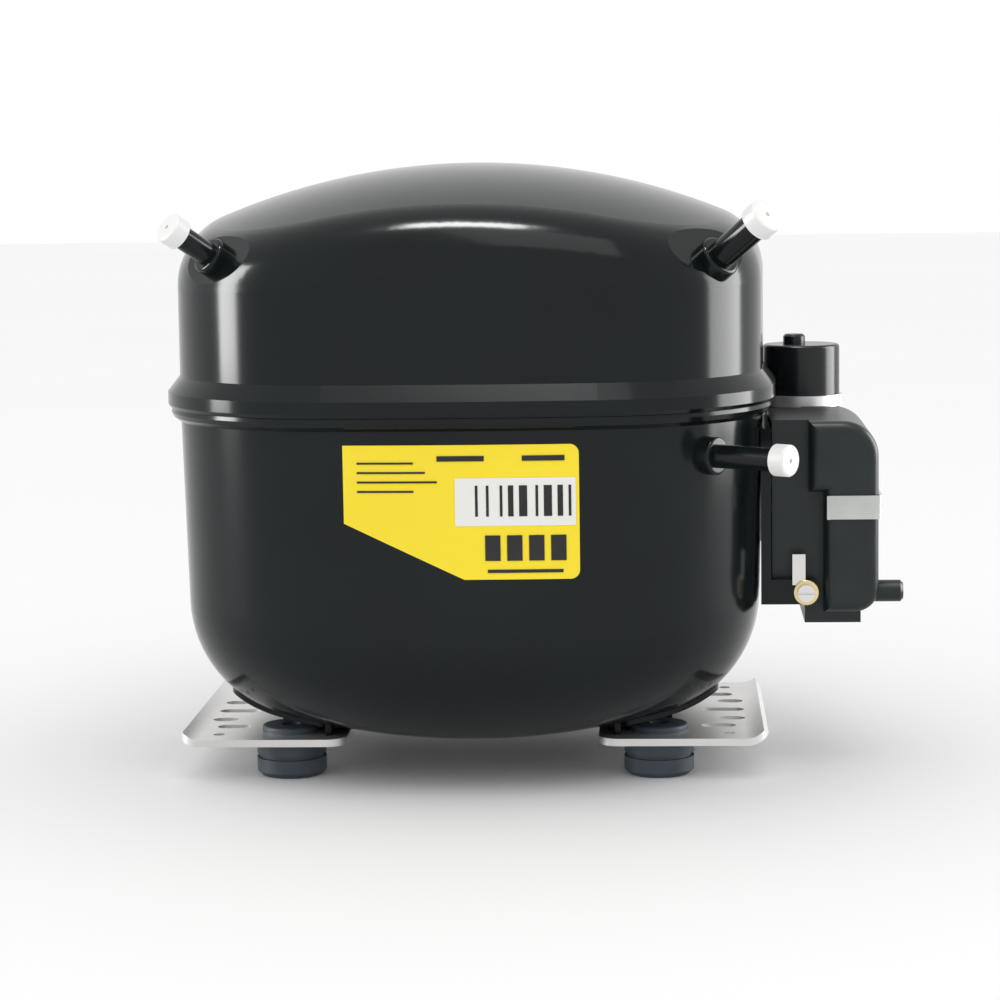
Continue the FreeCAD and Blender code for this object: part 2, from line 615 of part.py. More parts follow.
def terminal_cup():
    """Steel cup sealed into the wall, with three pin holes."""
    x0 = TERMINAL_CENTRE.x - WALL - 4
    cup = rod(TERMINAL_R, V(x0, TERMINAL_Y, TERMINAL_Z), V(1, 0, 0), WALL + 5)
    hollow = rod(TERMINAL_R - 1.6, V(x0 + 1.6, TERMINAL_Y, TERMINAL_Z), V(1, 0, 0), WALL + 9)
    return cup.cut([hollow] + [rod(PIN_R + 1.4, p - V(20, 0, 0), V(1, 0, 0), 40)
                               for p in pin_places()])


def pin_places():
    radius = PIN_PITCH / math.sqrt(3)
    places = []
    for i in range(3):
        a = math.radians(90 + 120 * i)
        places.append(TERMINAL_CENTRE + V(0, radius * math.cos(a), radius * math.sin(a)))
    return places


def glass_beads():
    x0 = TERMINAL_CENTRE.x - WALL - 4
    beads = []
    for p in pin_places():
        bead = rod(PIN_R + 1.4, V(x0 - 0.6, p.y, p.z), V(1, 0, 0), 2.8)
        beads.append(bead.cut(rod(PIN_R, V(x0 - 2, p.y, p.z), V(1, 0, 0), 9)))
    return beads


def terminal_pins():
    return [rod(PIN_R, V(TERMINAL_CENTRE.x - WALL - 12, p.y, p.z), V(1, 0, 0), PIN_OUT + WALL + 8)
            for p in pin_places()]


def start_relay():
    """Plug-on relay with three sockets for the pins."""
    end = BOX_OUT - BOX_WALL - CLEARANCE
    body = in_box(BRACKET_T + 2.5, end - RELAY_TAB, -17, 17, TERMINAL_Z - 30, TERMINAL_Z + 12)
    body = round_edges(body, 3.0, lambda e: e.BoundBox.XLength > 5)
    sockets = [rod(PIN_R + 0.05, V(WALL_X, p.y, p.z), V(1, 0, 0), PIN_OUT - 2) for p in pin_places()]
    tab = in_box(end - RELAY_TAB, end, -6, 6, TERMINAL_Z - 22, TERMINAL_Z - 18)
    return fuse([body, tab]).cut(sockets)


def overload_protector():
    start = V(WALL_X + BRACKET_T + 5, BOX_Y, TERMINAL_Z + 20)
    can = rod(7.2, start, V(1, 0, 0), 14)
    return fuse([can, rod(5.0, start, V(1, 0, 0), 17)])


def earth_centre():
    return V(WALL_X + EARTH_OUT, BOX_Y - BRACKET_HALF_Y, BRACKET_Z[0] + EAR_HEIGHT / 2)


def earth_disc(radius, y0, y1):
    """Disc about the earthing screw, between two distances in front of the ear."""
    return rod(radius, earth_centre() - V(0, y1, 0), V(0, 1, 0), y1 - y0)


def earth_pieces():
    """Screw, brass eyelet and steel blade stacked on the front of the ear."""
    c = earth_centre()
    bore = rod(EARTH_SCREW_R + SHEET_GAP, c - V(0, 9, 0), V(0, 1, 0), 9)
    blade = block(c.x - 4.6, c.x - 0.2, c.y - EARTH_SHEET, c.y, c.z + 2.5, c.z + 13.0)
    tab = earth_disc(3.9, 0, EARTH_SHEET).fuse(blade).removeSplitter().cut(bore)
    eyelet = earth_disc(4.3, EARTH_SHEET, EARTH_SHEET + 1.0)
    eyelet = eyelet.makeFillet(0.3, [e for e in eyelet.Edges if e.BoundBox.YMax < c.y - 1.5]).cut(bore)
    head = earth_disc(2.9, EARTH_SHEET + 1.0, EARTH_SHEET + 3.0)
    shank = earth_disc(EARTH_SCREW_R, -5.0, EARTH_SHEET + 2.0)
    groove = block(c.x - 4, c.x + 4, c.y - 9, c.y - EARTH_SHEET - 2.2, c.z - 0.4, c.z + 0.4)
    return head.fuse(shank).removeSplitter().cut(groove), eyelet, tab


def start_capacitor():
    """Round start capacitor standing beside the rear corner of the shell."""
    reach = CORNER_R + RIM_OUT + CAPACITOR_GAP + CAPACITOR_R
    dy = CAPACITOR_Y - CORNER.y
    x = CORNER.x + math.sqrt(reach ** 2 - dy ** 2)
    z0 = CAPACITOR_TOP_Z - CAPACITOR_LENGTH
    can = cylinder(CAPACITOR_R, z0, CAPACITOR_TOP_Z, x, CAPACITOR_Y)
    can = can.makeFillet(1.2, [e for e in can.Edges if e.BoundBox.ZLength < 1e-6])
    stud = cylinder(CAPACITOR_STUD_R, CAPACITOR_TOP_Z, CAPACITOR_TOP_Z + CAPACITOR_STUD,
                    x + CAPACITOR_STUD_DX, CAPACITOR_Y)
    stud = stud.makeChamfer(0.8, [e for e in stud.Edges if e.BoundBox.ZMin > CAPACITOR_TOP_Z + 1])
    strap_top = STRAP_Z + STRAP_HEIGHT
    strap = cylinder(CAPACITOR_R + STRAP_T, STRAP_Z, strap_top, x, CAPACITOR_Y)
    tab = block(WALL_X - 12, x, CAPACITOR_Y - 6, CAPACITOR_Y + 6, STRAP_Z, strap_top)
    strap = strap.fuse(tab).cut([cylinder(CAPACITOR_R + SHEET_GAP, 0, 200, x, CAPACITOR_Y),
                                 plan_prism(SHEET_GAP, 0, 200)])
    return can, stud, strap


# ------------------------------------------------------------------ motor
def stator_core():
    z0, z1 = STATOR_Z
    core = block(-STATOR_HALF, STATOR_HALF, -STATOR_HALF, STATOR_HALF, z0, z1)
    core = round_edges(core, 9.0, is_vertical)
    tools = [cylinder(STATOR_BORE_R, z0 - 1, z1 + 1)]
    for i in range(SLOT_COUNT):
        a = 360.0 * i / SLOT_COUNT
        opening = block(STATOR_BORE_R - 1, WINDING_R[0] + 1, -1.2, 1.2, z0 - 1, z1 + 1)
        pocket = block(WINDING_R[0], WINDING_R[1] - 4, -2.4, 2.4, z0 - 1, z1 + 1)
        for tool in (opening, pocket):
            tool.rotate(V(0, 0, 0), V(0, 0, 1), a)
            tools.append(tool)
    tools += corner_cylinders(STATOR_BOLT_R + 0.3, z0 - 1, z1 + 1)
    return core.cut(tools)


def corner_cylinders(radius, z0, z1):
    c = STATOR_BOLT_XY
    return [cylinder(radius, z0, z1, sx * c, sy * c) for sx in (1, -1) for sy in (1, -1)]


def ring(r0, r1, z0, z1, rounding):
    whole = cylinder(r1, z0, z1).cut(cylinder(r0, z0 - 1, z1 + 1))
    return whole.makeFillet(rounding, [e for e in whole.Edges if e.BoundBox.ZLength < 1e-6])


def stator_winding():
    z0, z1 = STATOR_Z
    r0, r1 = WINDING_R
    low = ring(r0, r1, z0 - WINDING_LOW, z0 - 0.4, 4.0)
    high = ring(r0, r1, z1 + 0.4, z1 + WINDING_HIGH, 4.0)
    bars = []
    for i in range(SLOT_COUNT):
        bar = block(r0 + 0.5, r1 - 5, -2.0, 2.0, z0 - 1.0, z1 + 1.0)
        bar.rotate(V(0, 0, 0), V(0, 0, 1), 360.0 * i / SLOT_COUNT)
        bars.append(bar)
    return low.fuse([high] + bars)


def rotor_core():
    core = cylinder(STATOR_BORE_R - AIR_GAP, *STATOR_Z)
    return core.cut(cylinder(SHAFT_R, 0, 200))


def rotor_cage():
    z0, z1 = STATOR_Z
    r1 = STATOR_BORE_R - AIR_GAP - 1.0
    low = cylinder(r1, z0 - CAGE_RING, z0).cut(cylinder(r1 - 9, 0, 200))
    high = cylinder(r1, z1, z1 + CAGE_RING).cut(cylinder(r1 - 9, 0, 200))
    return low, high


def spring(x, y):
    pitch = (SPRING_TOP_Z - SPRING_BOTTOM_Z - 2 * SPRING_WIRE_R) / SPRING_TURNS
    z0 = SPRING_BOTTOM_Z + SPRING_WIRE_R
    helix = Part.makeHelix(pitch, pitch * SPRING_TURNS, SPRING_R)
    section = Part.Wire([Part.makeCircle(SPRING_WIRE_R, V(SPRING_R, 0, 0), V(0, 1, 0))])
    coil = Part.Wire(helix).makePipeShell([section], True, True)
    coil.translate(V(x, y, z0))
    return coil


def spring_seats():
    """Pegs welded in the bowl that the suspension springs stand on."""
    seats = []
    for flange, peg in zip(corner_cylinders(SPRING_R + 2.5, 15, SPRING_BOTTOM_Z),
                           corner_cylinders(PEG_R, 16, SPRING_BOTTOM_Z + 6)):
        solid = flange.fuse(peg).removeSplitter().common(bowl(-WALL - SHEET_GAP, SEAM_Z))
        seats.append(max(solid.Solids, key=lambda s: s.Volume))
    return seats


def upper_pegs():
    """Plastic pegs under the stator that centre the springs."""
    top = STATOR_Z[0]
    pegs = []
    for flange, peg in zip(corner_cylinders(SPRING_R + 2.5, SPRING_TOP_Z, top),
                           corner_cylinders(PEG_R, SPRING_TOP_Z - 5, top)):
        pegs.append(flange.fuse(peg).removeSplitter())
    holes = corner_cylinders(STATOR_BOLT_R + 2.5, SPRING_TOP_Z - 9, top + 1)
    return [p.cut(holes) for p in pegs]


def stator_bolts():
    """Long bolts from under the stator into the frame's legs."""
    z0 = STATOR_Z[0]
    shanks = corner_cylinders(STATOR_BOLT_R, z0 - 4, FRAME_Z[0] - 6)
    heads = corner_cylinders(STATOR_BOLT_R + 2.2, z0 - 4, z0)
    return [h.fuse(s).removeSplitter() for h, s in zip(heads, shanks)]


# ------------------------------------------------------------------ slide-block pump
PIN_X = -THROW
YOKE_R = BLOCK_R + YOKE_WALL
FACE_X = PIN_X - YOKE_R - PISTON_LENGTH - HEAD_CLEARANCE + 2.0
X_AXIS = V(-1, 0, 0)


def crankshaft():
    z0, z1 = WEB_Z
    shaft = cylinder(SHAFT_R, 40.0, z0)
    web = fuse([cylinder(SHAFT_R + 5, z0, z1), cylinder(PIN_CRANK_R + 4, z0, z1, PIN_X)])
    pin_top = AXIS_Z + math.sqrt(BLOCK_R ** 2 - PIN_CRANK_R ** 2) - 0.3
    pin = cylinder(PIN_CRANK_R, z1 - 1, pin_top, PIN_X)
    pin = pin.makeChamfer(0.8, [e for e in pin.Edges if e.BoundBox.ZMin > AXIS_Z])
    whole = fuse([shaft, web, pin])
    duct = cylinder(3.0, 39, 60)
    plug_seat = cylinder(PLUG_R + RUNNING_GAP, z0 + 2.5, z1, -THROW / 2)
    plug_seat = plug_seat.cut(cylinder(PIN_CRANK_R, z0, z1 + 9, PIN_X))
    full_seat = cylinder(PLUG_R + RUNNING_GAP, z0 + 2.5, z1 - 1.0, -THROW / 2)
    groove = ring(SHAFT_R - 0.6, SHAFT_R + 1, 118.0, 120.5, 0.2)
    return whole.cut([duct, plug_seat, full_seat, groove])


def gallery_plug():
    return cylinder(PLUG_R, WEB_Z[0] + 2.7, WEB_Z[1] - 1.2, -THROW / 2)


def counterweight():
    """Sector riveted round the web on the side away from the crank pin."""
    z0, z1 = WEB_Z
    disc = cylinder(WEIGHT_R, z0 + 0.5, z1 - 0.5)
    keep = block(2.0, WEIGHT_R + 1, -WEIGHT_R, WEIGHT_R, z0, z1)
    weight = disc.common(keep).cut(cylinder(SHAFT_R + 5, z0 - 1, z1 + 1))
    return weight


def oil_pickup():
    """Tapered pump tube pressed into the shaft's lower end, dipping in the oil."""
    cone = Part.makeCone(4.5, SHAFT_R - 1.5, 17, V(0, 0, 21))
    stem = cylinder(3.0, 37.9, 48.0)
    return fuse([cone, stem]).cut(cylinder(1.5, 0, 60))


def slide_block():
    barrel = rod(BLOCK_R, V(PIN_X, -BLOCK_HALF, AXIS_Z), V(0, 1, 0), 2 * BLOCK_HALF)
    return barrel.cut(cylinder(PIN_CRANK_R + RUNNING_GAP, 100, 200, PIN_X))


def piston():
    """Piston with its cross tube (yoke), which the slide block runs in."""
    tube = rod(YOKE_R, V(PIN_X, -YOKE_HALF, AXIS_Z), V(0, 1, 0), 2 * YOKE_HALF)
    start = PIN_X - YOKE_R + 2.0
    body = rod(BORE_R - RUNNING_GAP, V(start + 6, 0, AXIS_Z), X_AXIS, PISTON_LENGTH + 6)
    whole = fuse([tube, body])
    bore = rod(BLOCK_R + RUNNING_GAP, V(PIN_X, -YOKE_HALF - 1, AXIS_Z), V(0, 1, 0), 2 * YOKE_HALF + 2)
    half = THROW + PIN_CRANK_R + 1.0
    side = PIN_CRANK_R + 0.6
    slot_tool = block(PIN_X - side, PIN_X + side, -half, half, AXIS_Z - YOKE_R - 1, AXIS_Z)
    crown = start - PISTON_LENGTH
    relief = block(crown - 1, crown + 1.6, -12, 8, AXIS_Z - 4.6, AXIS_Z + 4.6)
    hollow = rod(BORE_R - 5, V(start + 6, 0, AXIS_Z), X_AXIS, PISTON_LENGTH)
    hollow = hollow.cut(rod(YOKE_R - 0.5, V(PIN_X, -40, AXIS_Z), V(0, 1, 0), 80))
    return whole.cut([bore, slot_tool, relief, hollow])


def frame_casting():
    """Cast frame: legs on the stator, deck, shaft bearing and cylinder."""
    z0, z1 = FRAME_Z
    deck = block(-FRAME_HALF, FRAME_HALF, -FRAME_HALF, FRAME_HALF, z0, z1)
    deck = round_edges(deck, 10.0, is_vertical)
    legs = corner_cylinders(8.5, STATOR_Z[1], z0 + 1)
    hub = cylinder(SHAFT_R + 6.5, STATOR_Z[1] + CAGE_RING + 3, WEB_Z[0] - 2.2)
    barrel = rod(BORE_R + CYLINDER_WALL, V(CYLINDER_START_X, 0, AXIS_Z), X_AXIS,
                 CYLINDER_START_X - FACE_X)
    flange = block(FACE_X, FACE_X + 8, -HEAD_HALF, HEAD_HALF, AXIS_Z - HEAD_HALF, AXIS_Z + HEAD_HALF)
    flange = round_edges(flange, 6.0, lambda e: e.BoundBox.XLength > 5)
    post = block(FACE_X, CYLINDER_START_X, -15, 15, z0, AXIS_Z - BORE_R - 2)
    muffler = cylinder(MUFFLER_R, z1 - 1, z1 + MUFFLER_HEIGHT, MUFFLER_X, MUFFLER_Y)
    whole = fuse([deck] + legs + [hub, barrel, flange, post, muffler])
    tools = [cylinder(SHAFT_R + RUNNING_GAP, 90, 140),
             rod(BORE_R, V(CYLINDER_START_X + 1, 0, AXIS_Z), X_AXIS, 80),
             cylinder(MUFFLER_R - 2, z1 + 2, z1 + MUFFLER_HEIGHT - 2, MUFFLER_X, MUFFLER_Y),
             block(16, 46, -44, -18, z0 - 1, z1 + 1),
             block(-44, -18, 24, 46, z0 - 1, z1 + 1), block(-44, -18, -46, -24, z0 - 1, z1 + 1)]
    tools += corner_cylinders(STATOR_BOLT_R, STATOR_Z[1] - 1, z0 - 6)
    tools += head_bolt_rods(HEAD_BOLT_R, FACE_X + 9, FACE_X - 2)
    return whole.cut(tools)


def head_bolt_rods(radius, x0, x1):
    c = HEAD_BOLT_XY
    return [rod(radius, V(x0, sy * c, AXIS_Z + sz * c), X_AXIS, x0 - x1)
            for sy in (1, -1) for sz in (1, -1)]


def head_sheet(x, thickness):
    sheet = block(x - thickness, x, -HEAD_HALF, HEAD_HALF, AXIS_Z - HEAD_HALF, AXIS_Z + HEAD_HALF)
    sheet = round_edges(sheet, min(6.0, HEAD_HALF / 2), lambda e: e.BoundBox.XLength > thickness / 2)
    return sheet.cut(head_bolt_rods(HEAD_BOLT_R + 0.3, x + 1, x - thickness - 1))


REED_X = FACE_X - GASKET_T
PLATE_X = REED_X - REED_T
PLATE_END_X = PLATE_X - VALVE_PLATE_T
HEAD_X = PLATE_END_X - GASKET_T
SUCTION_PORT_Y = -6.0
DISCHARGE_PORT_Y = 7.0
PORT_R = 3.0


def cylinder_gasket():
    return head_sheet(FACE_X, GASKET_T).cut(rod(BORE_R + 0.5, V(FACE_X + 1, 0, AXIS_Z), X_AXIS, 9))


def reed_sheet():
    """Outer frame of the suction valve leaf, clamped all round."""
    sheet = head_sheet(REED_X, REED_T)
    return sheet.cut(rod(BORE_R + 0.2, V(REED_X + 1, 0, AXIS_Z), X_AXIS, 9))


def suction_reed():
    """Tongue inside the leaf, bending about its root near the bore's edge."""
    tongue = block(PLATE_X + 0.02, REED_X, -BORE_R + 3.0, SUCTION_PORT_Y + 1, AXIS_Z - 3.2, AXIS_Z + 3.2)
    tip = rod(4.0, V(REED_X, SUCTION_PORT_Y + 1.0, AXIS_Z), X_AXIS, REED_T - 0.02)
    return fuse([tongue, tip])


def valve_plate():
    plate = head_sheet(PLATE_X, VALVE_PLATE_T)
    recess = block(PLATE_END_X - 1, PLATE_END_X + 1.4, 1.5, 17.0, AXIS_Z - 6, AXIS_Z + 6)
    ports = [rod(PORT_R, V(PLATE_X + 1, y, AXIS_Z), X_AXIS, 9) for y in (SUCTION_PORT_Y, DISCHARGE_PORT_Y)]
    return plate.cut([recess] + ports)


def discharge_reed():
    x = PLATE_END_X + 1.38
    tongue = block(x - REED_T, x, DISCHARGE_PORT_Y, 15.5, AXIS_Z - 3.0, AXIS_Z + 3.0)
    return fuse([tongue, rod(4.2, V(x, DISCHARGE_PORT_Y, AXIS_Z), X_AXIS, REED_T)])


def head_gasket():
    gasket = head_sheet(PLATE_END_X, GASKET_T)
    windows = [block(PLATE_END_X - 2, PLATE_END_X + 1, y0, y1, AXIS_Z - 11, AXIS_Z + 11)
               for y0, y1 in ((-17.0, -1.5), (1.5, 17.0))]
    return gasket.cut(windows)


def cylinder_head():
    head = head_sheet(HEAD_X, HEAD_T)
    chambers = [block(HEAD_X - HEAD_T + 3, HEAD_X + 1, y0, y1, AXIS_Z - 11, AXIS_Z + 11)
                for y0, y1 in ((-17.0, -1.5), (1.5, 17.0))]
    inlet = rod(3.5, V(HEAD_X - HEAD_T / 2, -14, AXIS_Z), V(0, -1, 0), 20)
    return head.cut(chambers + [inlet])


def head_bolts():
    end = HEAD_X - HEAD_T
    shanks = head_bolt_rods(HEAD_BOLT_R, FACE_X + 6, end - 0.5)
    caps = head_bolt_rods(HEAD_BOLT_R + 2.0, end, end - 3.5)
    return [c.fuse(s).removeSplitter() for c, s in zip(caps, shanks)]


def suction_muffler():
    """Plastic silencer beside the cylinder, its neck in the head's inlet."""
    y1 = -HEAD_HALF - 0.4
    mid = HEAD_X - HEAD_T / 2
    body = block(mid - 6, mid + 34, y1 - 22, y1 - 4, AXIS_Z - 20, AXIS_Z + 16)
    body = round_edges(body, 4.0, lambda e: True)
    neck = rod(3.3, V(mid, -HEAD_HALF + 4, AXIS_Z), V(0, -1, 0), 14)
    snout = rod(6.0, V(mid, y1, AXIS_Z), V(0, -1, 0), 6)
    return fuse([body, snout, neck]).cut(rod(2.0, V(mid, -HEAD_HALF + 5, AXIS_Z), V(0, -1, 0), 16))


def thrust_washer():
    low = WEB_Z[0] - 2.2
    return cylinder(SHAFT_R + 5, low, WEB_Z[0] - 0.05).cut(cylinder(SHAFT_R + RUNNING_GAP, 90, 150))


def rounded_route(points, radius):
    """Straight runs joined by tangent arcs of one radius."""
    edges, start = [], points[0]
    for before, corner, after in zip(points, points[1:], points[2:]):
        u = (before - corner).normalize()
        w = (after - corner).normalize()
        half = math.acos(max(-1.0, min(1.0, u.dot(w)))) / 2
        reach = radius / math.tan(half)
        a, b = corner + u * reach, corner + w * reach
        middle = corner + (u + w).normalize() * (radius / math.sin(half) - radius)
        edges += [Part.makeLine(start, a), Part.Arc(a, middle, b).toShape()]
        start = b
    return Part.Wire(edges + [Part.makeLine(start, points[-1])])


def discharge_loop():
    """Shock tube from the frame's muffler round the motor to the discharge connector."""
    inner = DISCHARGE_BASE - DISCHARGE_DIR * (TUBE_INSIDE + 0.1)
    top = FRAME_Z[1] + 14
    start = MUFFLER_Y + MUFFLER_R + 0.1
    points = [V(MUFFLER_X, start, top), V(MUFFLER_X, start + 12, top),
              V(66, 62, top - 10), V(80, 30, DISCHARGE_Z),
              V(80, -30, DISCHARGE_Z), inner - DISCHARGE_DIR * 14, inner]
    route = rounded_route(points, 6.0)
    tube = Part.Wire(Part.makeCircle(LOOP_R, points[0], V(0, 1, 0)))
    return route.makePipeShell([tube], True, True)


def lead_plug():
    """Plug on the inner ends of the terminal pins."""
    x1 = TERMINAL_CENTRE.x - WALL - CUP_INSIDE
    body = block(x1 - LEAD_PLUG_T, x1, TERMINAL_Y - 10, TERMINAL_Y + 10, TERMINAL_Z - 9, TERMINAL_Z + 11)
    body = round_edges(body, 2.5, lambda e: e.BoundBox.XLength > 5)
    return body.cut([rod(PIN_R + 0.02, p - V(40, 0, 0), V(1, 0, 0), 40) for p in pin_places()])


def motor_leads():
    """Three leads from the plug over the stator to the upper end winding."""
    x1 = TERMINAL_CENTRE.x - WALL - CUP_INSIDE - LEAD_PLUG_T - SHEET_GAP
    top = STATOR_Z[1] + 10
    leads = []
    for p in pin_places():
        y = p.y
        end = math.sqrt((WINDING_R[1] + 0.3) ** 2 - y ** 2)
        points = [V(x1, y, p.z), V(x1 - 8, y, p.z), V(x1 - 8, y, top), V(end, y, top)]
        section = Part.Wire(Part.makeCircle(LEAD_R, points[0], V(1, 0, 0)))
        leads.append(rounded_route(points, 3.2).makePipeShell([section], True, True))
    return leads


# ------------------------------------------------------------------ build
def main():
    right_saddle = saddle()
    right_plate = base_plate()
    hx, hy = HOLE_SPACING_X / 2, HOLE_SPACING_Y / 2
    can, stud, strap = start_capacitor()
    screw, eyelet, blade = earth_pieces()
    corners = [(sx, sy) for sx in (1, -1) for sy in (1, -1)]
    save("upper_shell", upper_shell())
    save("lower_shell", lower_shell())
    save("weld_bead", weld_bead())
    save("base_plate_right", right_plate)
    save("base_plate_left", mirror_x(right_plate))
    save("saddle_right", *right_saddle)
    save("saddle_left", *[mirror_x(s) for s in right_saddle])
    save("rubber_grommets", *[grommet(sx * hx, sy * hy) for sx, sy in corners])
    save("label_plate", label_plate())
    for name, tube, base, out in (("suction", SUCTION_TUBE, SUCTION_BASE, SUCTION_DIR),
                                  ("process", PROCESS_TUBE, PROCESS_BASE, PROCESS_DIR),
                                  ("discharge", DISCHARGE_TUBE, DISCHARGE_BASE, DISCHARGE_DIR)):
        save(name + "_connector", connector(tube, base, out))
        save(name + "_cap", dust_cap(tube, base, out))
    save("terminal_cup", terminal_cup())
    save("glass_beads", *glass_beads())
    save("terminal_pins", *terminal_pins())
    save("terminal_bracket", terminal_bracket())
    save("start_relay", start_relay())
    save("overload_protector", overload_protector())
    save("terminal_cover", terminal_cover())
    save("cover_clip", cover_clip())
    save("cord_relief", cord_relief())
    save("earth_screw", screw)
    save("earth_eyelet", eyelet)
    save("earth_tab", blade)
    save("start_capacitor", can)
    save("capacitor_stud", stud)
    save("capacitor_strap", strap)
    save("lead_plug", lead_plug())
    save("motor_leads", *motor_leads())
    save("stator_core", stator_core())
    save("stator_winding", stator_winding())
    save("stator_bolts", *stator_bolts())
    save("rotor_core", rotor_core())
    save("rotor_cage", *rotor_cage())
    save("spring_seats", *spring_seats())
    save("spring_pegs", *upper_pegs())
    back_springs = [spring(sx * STATOR_BOLT_XY, STATOR_BOLT_XY) for sx in (-1, 1)]
    save("suspension_springs", *back_springs, *[half_turn(s) for s in back_springs])
    save("pump_frame", frame_casting())
    save("thrust_washer", thrust_washer())
    save("crankshaft", crankshaft())
    save("counterweight", counterweight())
    save("oil_pickup", oil_pickup())
    save("gallery_plug", gallery_plug())
    save("slide_block", slide_block())
    save("piston", piston())
    save("cylinder_gasket", cylinder_gasket())
    save("suction_leaf_frame", reed_sheet())
    save("suction_reed", suction_reed())
    save("valve_plate", valve_plate())
    save("discharge_reed", discharge_reed())
    save("head_gasket", head_gasket())
    save("cylinder_head", cylinder_head())
    save("head_bolts", *head_bolts())
    save("suction_muffler", suction_muffler())
    save("discharge_loop", discharge_loop())


main()
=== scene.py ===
"""Looks of the hermetic compressor: materials, printed label, floor, light and camera. Units are metres."""

import json
import math

import bmesh
import bpy
from mathutils import Matrix, Vector
from mathutils.bvhtree import BVHTree

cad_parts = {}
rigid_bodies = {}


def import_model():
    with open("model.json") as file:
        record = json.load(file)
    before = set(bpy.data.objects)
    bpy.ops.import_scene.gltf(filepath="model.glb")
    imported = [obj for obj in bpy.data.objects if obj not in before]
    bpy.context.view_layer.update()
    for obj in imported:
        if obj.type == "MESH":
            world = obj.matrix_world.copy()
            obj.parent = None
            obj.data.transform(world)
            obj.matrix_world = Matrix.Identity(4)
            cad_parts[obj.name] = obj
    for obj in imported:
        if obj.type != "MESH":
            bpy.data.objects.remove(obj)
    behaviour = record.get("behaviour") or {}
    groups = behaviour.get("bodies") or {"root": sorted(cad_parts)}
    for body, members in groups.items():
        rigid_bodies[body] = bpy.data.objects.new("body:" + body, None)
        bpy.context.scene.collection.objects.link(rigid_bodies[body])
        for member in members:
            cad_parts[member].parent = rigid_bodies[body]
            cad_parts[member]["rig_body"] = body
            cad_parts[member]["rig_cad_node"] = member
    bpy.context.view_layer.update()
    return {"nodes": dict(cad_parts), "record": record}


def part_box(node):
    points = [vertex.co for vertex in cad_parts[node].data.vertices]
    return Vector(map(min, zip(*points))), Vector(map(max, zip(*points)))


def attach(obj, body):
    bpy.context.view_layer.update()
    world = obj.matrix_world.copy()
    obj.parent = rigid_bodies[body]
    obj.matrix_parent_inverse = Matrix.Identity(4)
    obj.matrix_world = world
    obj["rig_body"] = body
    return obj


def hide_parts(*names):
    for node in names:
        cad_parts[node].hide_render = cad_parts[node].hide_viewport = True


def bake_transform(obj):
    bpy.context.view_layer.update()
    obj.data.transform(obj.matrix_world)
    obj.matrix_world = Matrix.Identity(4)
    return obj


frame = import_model()
nodes = frame["nodes"]
record = frame["record"]
MM = 0.001


# ------------------------------------------------------------------ materials
# Each finish: metallic, roughness, mottle (how far the colour wanders), grain (mm), bump (mm), specular.
FINISHES = {
    "shell_paint": (0.0, 0.15, 0.30, 4.0, 0.002, 0.22),
    "zinc_plate": (0.85, 0.34, 0.12, 2.5, 0.010, 0.5),
    "grommet_rubber": (0.0, 0.55, 0.35, 1.2, 0.020, 0.4),
    "cap_plastic": (0.0, 0.42, 0.05, 3.0, 0.010, 0.4),
    "label_film": (0.0, 0.38, 0.03, 8.0, 0.003, 0.4),
    "box_plastic": (0.0, 0.34, 0.20, 0.8, 0.008, 0.35),
    "spring_steel": (0.9, 0.30, 0.15, 1.5, 0.006, 0.5),
    "brass": (1.0, 0.30, 0.15, 1.5, 0.005, 0.5),
    "bare_steel": (1.0, 0.33, 0.15, 1.0, 0.006, 0.5),
    "cast_iron": (0.7, 0.60, 0.40, 1.4, 0.060, 0.5),
    "aluminium": (1.0, 0.42, 0.15, 1.2, 0.020, 0.5),
    "copper_wire": (0.9, 0.30, 0.30, 1.0, 0.040, 0.5),
    "sealing_glass": (0.0, 0.10, 0.20, 2.0, 0.004, 0.5),
    "gasket": (0.0, 0.75, 0.30, 0.6, 0.030, 0.3),
    "white_plastic": (0.0, 0.45, 0.10, 2.0, 0.010, 0.4),
    "capacitor_plastic": (0.0, 0.22, 0.20, 4.0, 0.004, 0.35),
}
# A colour, then the same six values: for the label's print and the floor, which are no CAD nodes.
LABEL_WHITE = ((0.80, 0.80, 0.76), 0.0, 0.38, 0.03, 8.0, 0.003, 0.4)
LABEL_INK = ((0.02, 0.02, 0.02), 0.0, 0.45, 0.2, 2.0, 0.003, 0.3)
FLOOR_PAINT = ((0.93, 0.93, 0.93), 0.0, 0.8, 0.01, 60.0, 0.0, 0.1)
CLOUD_GRAINS = 12             # the colour wanders over this many grains
CLOUD_DETAIL = 3
GRAIN_DETAIL = 2
TINT_FROM, TINT_TO = 0.3, 0.7
ROUGH_SPREAD = 0.15


def link(tree, source, output, target, socket):
    tree.links.new(source.outputs[output], target.inputs[socket])


def noise(tree, place, scale, detail):
    """A noise texture over the object's own coordinates."""
    texture = tree.nodes.new("ShaderNodeTexNoise")
    texture.inputs["Scale"].default_value = scale
    texture.inputs["Detail"].default_value = detail
    link(tree, place, "Object", texture, "Vector")
    return texture


